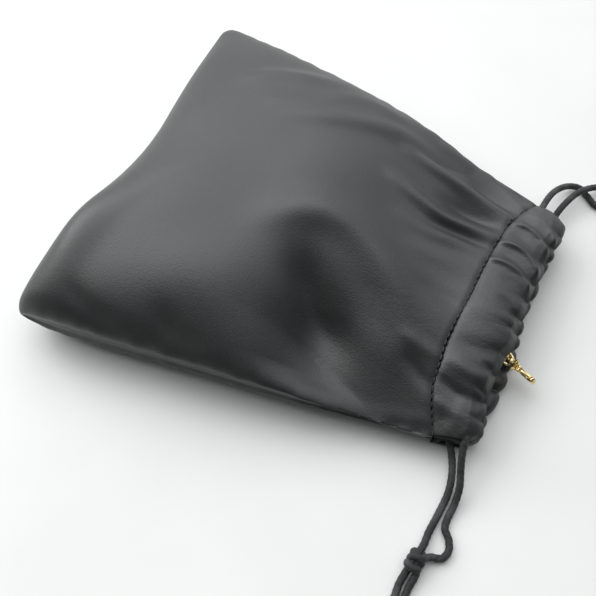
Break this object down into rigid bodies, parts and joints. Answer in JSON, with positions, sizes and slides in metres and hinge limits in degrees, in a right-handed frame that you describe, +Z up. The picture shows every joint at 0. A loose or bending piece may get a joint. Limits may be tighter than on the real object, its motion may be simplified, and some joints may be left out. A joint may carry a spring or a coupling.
{
  "type": "neck pouch wallet",
  "caption": "Soft black leather drawstring pouch with a gathered mouth, two opposed braided drawcords with knotted ends, and a small gold snap clasp on a tab inside the mouth.",
  "frame": {"origin": "on the surface the pouch lies on, under the middle of the pouch with its clasp, without the cords", "axes": "+X out of the mouth, +Y across the pouch to its far side, +Z up out of the front panel"},
  "size_m": [0.2273, 0.2491, 0.0371],
  "materials": {
    "leather": "smooth semi-matte black, fine grain",
    "lining": "plain woven black cloth",
    "thread": "twisted black thread",
    "cord": "round braided black cord",
    "gold_metal": "polished pale gold plating"
  },
  "bodies": {
    "pouch": {"front_panel": "leather", "back_panel": "leather", "lining": "lining", "near_side_seam": "leather", "far_side_seam": "leather", "bottom_seam": "leather", "front_hem": "leather", "back_hem": "leather", "front_hem_stitching": "thread", "back_hem_stitching": "thread", "clasp_tab": "leather", "tab_stitching": "thread"},
    "near_drawcord": {"near_drawcord": "cord", "near_cord_knot": "cord", "near_cord_tail_1": "cord", "near_cord_tail_2": "cord"},
    "far_drawcord": {"far_drawcord": "cord", "far_cord_knot": "cord", "far_cord_tail_1": "cord", "far_cord_tail_2": "cord"},
    "clasp_eye": {"clasp_eye": "gold_metal"},
    "clasp_hook": {"clasp_hook": "gold_metal", "swivel_rivet": "gold_metal", "gate_pin": "gold_metal", "gate_spring": "gold_metal"},
    "clasp_gate": {"clasp_gate": "gold_metal"}
  },
  "joints": [
    {"name": "near_drawcord_pull", "type": "slide", "parent": "pouch", "child": "near_drawcord", "axis": [0, -1, 0], "range_m": [-0.003, 0.02], "deforming": ["front_hem", "back_hem"]},
    {"name": "far_drawcord_pull", "type": "slide", "parent": "pouch", "child": "far_drawcord", "axis": [0, 1, 0], "range_m": [-0.003, 0.02], "deforming": ["front_hem", "back_hem"]},
    {"name": "clasp_eye_tilt", "type": "hinge", "parent": "pouch", "child": "clasp_eye", "pos_m": [0.07, -0.011, 0.00935], "axis": [0.342, 0.9397, 0], "range_deg": [-8, 0]},
    {"name": "clasp_swivel", "type": "hinge", "parent": "clasp_eye", "child": "clasp_hook", "pos_m": [0.07714, -0.0136, 0.00935], "axis": [0.9397, -0.342, 0], "continuous": true},
    {"name": "clasp_gate_hinge", "type": "hinge", "parent": "clasp_hook", "child": "clasp_gate", "pos_m": [0.08343, -0.0168, 0.01127], "axis": [0.3125, 0.8585, 0.4067], "range_deg": [0, 25], "stiffness_Nm_per_rad": 0.004, "springref_deg": -17.19, "deforming": ["gate_spring"]}
  ]
}
